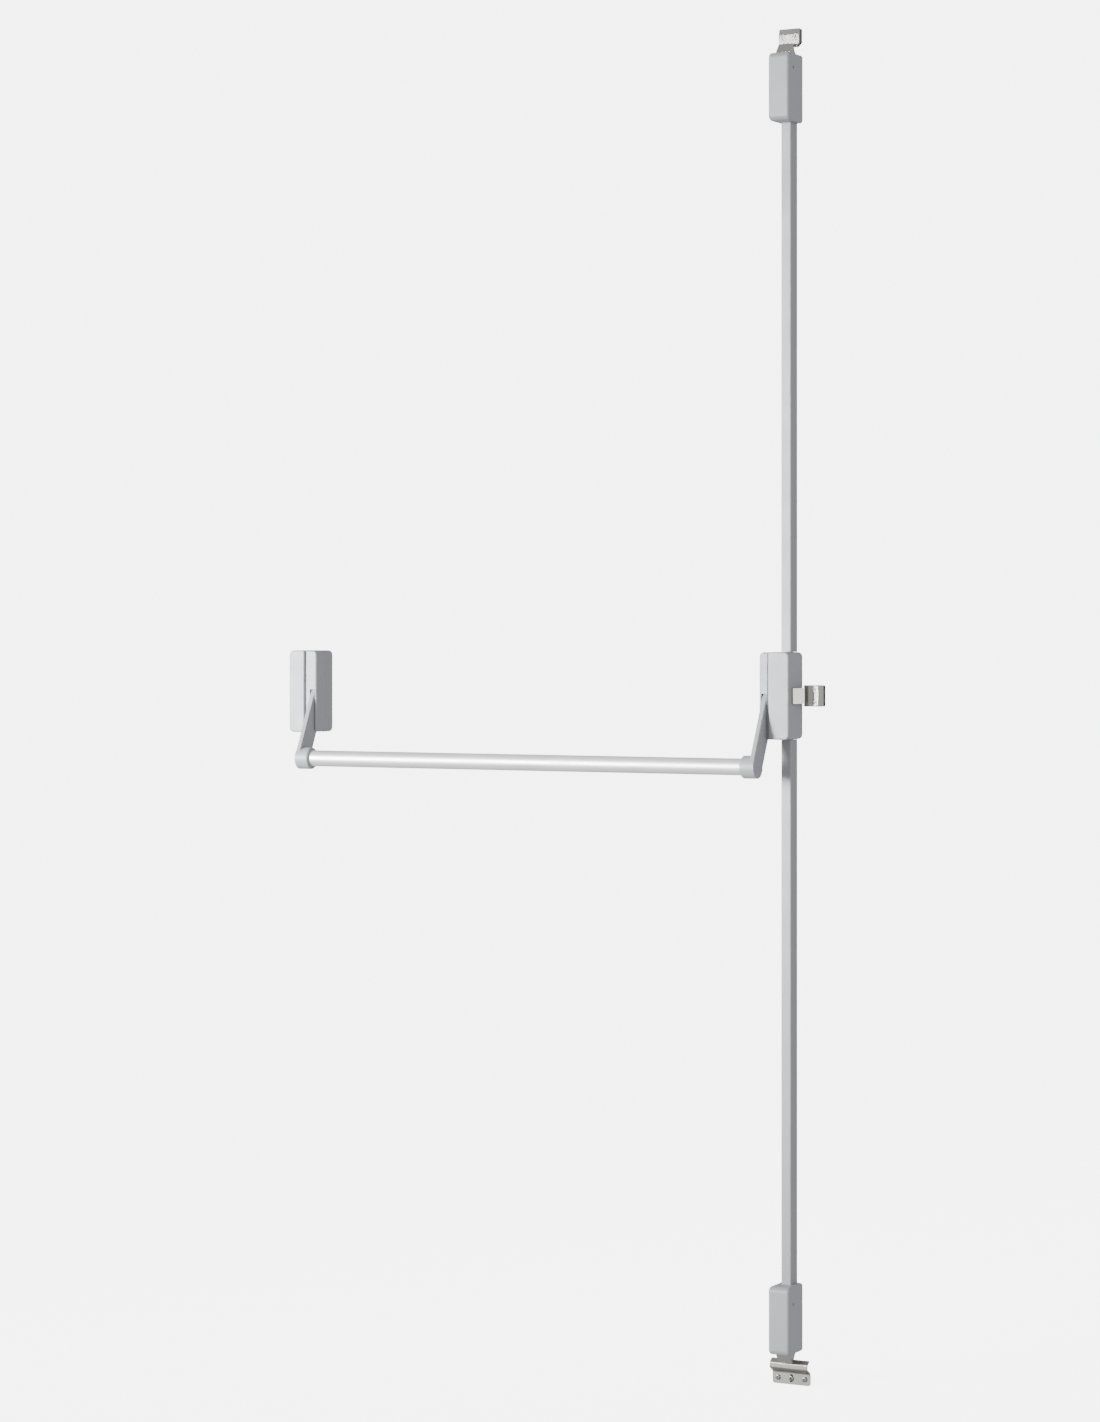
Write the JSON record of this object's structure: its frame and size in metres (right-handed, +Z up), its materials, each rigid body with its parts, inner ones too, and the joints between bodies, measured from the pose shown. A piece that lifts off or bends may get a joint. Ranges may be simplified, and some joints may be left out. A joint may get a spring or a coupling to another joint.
{
  "type": "panic exit bar",
  "caption": "Push-bar panic exit device: a round bar on two swinging arms draws in top and bottom wedge bolts and a side latch through concealed rods.",
  "frame": {"origin": "centre of the lock-side base plate back face, on the door face", "axes": "+X along the bar towards the lock stile, +Y into the door, +Z up"},
  "size_m": [1.0069, 0.106, 2.2454],
  "materials": {
    "cast_paint": "silver-grey powder coat on die cast zinc alloy",
    "tube_aluminium": "satin anodised",
    "cover_aluminium": "satin anodised extrusion",
    "bolt_steel": "nickel plated",
    "strike_steel": "satin stainless",
    "screw_steel": "zinc plated",
    "bracket_steel": "zinc plated sheet",
    "shaft_steel": "ground",
    "spring_steel": "oiled spring wire",
    "bush_brass": "plain bearing",
    "black_plastic": "moulded nylon"
  },
  "bodies": {
    "fixed_parts": {"bottom_bolt_spring": "spring_steel", "bottom_case_base": "bracket_steel", "bottom_case_cover": "cast_paint", "bottom_case_screws": "screw_steel", "bottom_strike": "strike_steel", "bottom_strike_packer": "black_plastic", "bottom_strike_screws": "screw_steel", "hinge_base_tray": "cast_paint", "hinge_bearing_bracket": "bracket_steel", "hinge_cover": "cast_paint", "hinge_cover_screw": "screw_steel", "hinge_shaft_bushes": "bush_brass", "lock_base_plate": "bracket_steel", "lock_bearing_bracket": "bracket_steel", "lock_cover": "cast_paint", "lock_cover_screw": "screw_steel", "lock_shaft_bushes": "bush_brass", "lower_rod_cover": "cover_aluminium", "lower_rod_guide": "black_plastic", "lower_slider_guide": "black_plastic", "return_spring": "spring_steel", "rocker_clip": "screw_steel", "rocker_stud": "shaft_steel", "side_strike": "strike_steel", "side_strike_packer": "black_plastic", "side_strike_screws": "screw_steel", "top_bolt_spring": "spring_steel", "top_case_base": "bracket_steel", "top_case_cover": "cast_paint", "top_case_screws": "screw_steel", "top_strike": "strike_steel", "top_strike_packer": "black_plastic", "top_strike_screws": "screw_steel", "upper_rod_cover": "cover_aluminium", "upper_rod_guide": "black_plastic", "upper_slider_guide": "black_plastic"},
    "push_bar": {"crossbar": "tube_aluminium", "lock_arm": "cast_paint", "hinge_arm": "cast_paint", "bar_grub_screws": "screw_steel", "lock_shaft": "shaft_steel", "hinge_shaft": "shaft_steel", "lock_shaft_pins": "shaft_steel", "hinge_shaft_pins": "shaft_steel", "drive_lever": "bracket_steel"},
    "rocker_arm": {"rocker": "bracket_steel", "rocker_pins": "shaft_steel"},
    "upper_rod_run": {"upper_slider": "bracket_steel", "upper_coupler": "bracket_steel", "upper_rod": "shaft_steel", "top_bolt_carrier": "bracket_steel", "top_bolt": "bolt_steel"},
    "lower_rod_run": {"lower_slider": "bracket_steel", "lower_coupler": "bracket_steel", "lower_rod": "shaft_steel", "bottom_bolt_carrier": "bracket_steel", "bottom_bolt": "bolt_steel"},
    "latch": {"side_latch": "bolt_steel", "latch_pin": "shaft_steel"}
  },
  "joints": [
    {"name": "push_bar_swing", "type": "hinge", "parent": "fixed_parts", "child": "push_bar", "pos_m": [-0.45525, -0.031, 0], "axis": [1, 0, 0], "range_deg": [0, 20], "stiffness_Nm_per_rad": 6, "springref_deg": -28.65},
    {"name": "rocker_turn", "type": "hinge", "parent": "fixed_parts", "child": "rocker_arm", "pos_m": [0.0085, -0.011, 0], "axis": [0, 1, 0], "range_deg": [0, 55]},
    {"name": "upper_rod_slide", "type": "slide", "parent": "fixed_parts", "child": "upper_rod_run", "axis": [0, 0, -1], "range_m": [0, 0.01202], "deforming": ["top_bolt_spring"]},
    {"name": "lower_rod_slide", "type": "slide", "parent": "fixed_parts", "child": "lower_rod_run", "axis": [0, 0, 1], "range_m": [0, 0.01202], "deforming": ["bottom_bolt_spring"]},
    {"name": "side_latch_slide", "type": "slide", "parent": "fixed_parts", "child": "latch", "axis": [-1, 0, 0], "range_m": [0, 0.01552]}
  ],
  "couplings": [
    {"joint": "rocker_turn", "follows": "push_bar_swing", "ratio": 2.7486},
    {"joint": "upper_rod_slide", "follows": "push_bar_swing", "m_per_rad": 0.034377},
    {"joint": "lower_rod_slide", "follows": "push_bar_swing", "m_per_rad": 0.034377},
    {"joint": "side_latch_slide", "follows": "push_bar_swing", "m_per_rad": 0.044404}
  ]
}
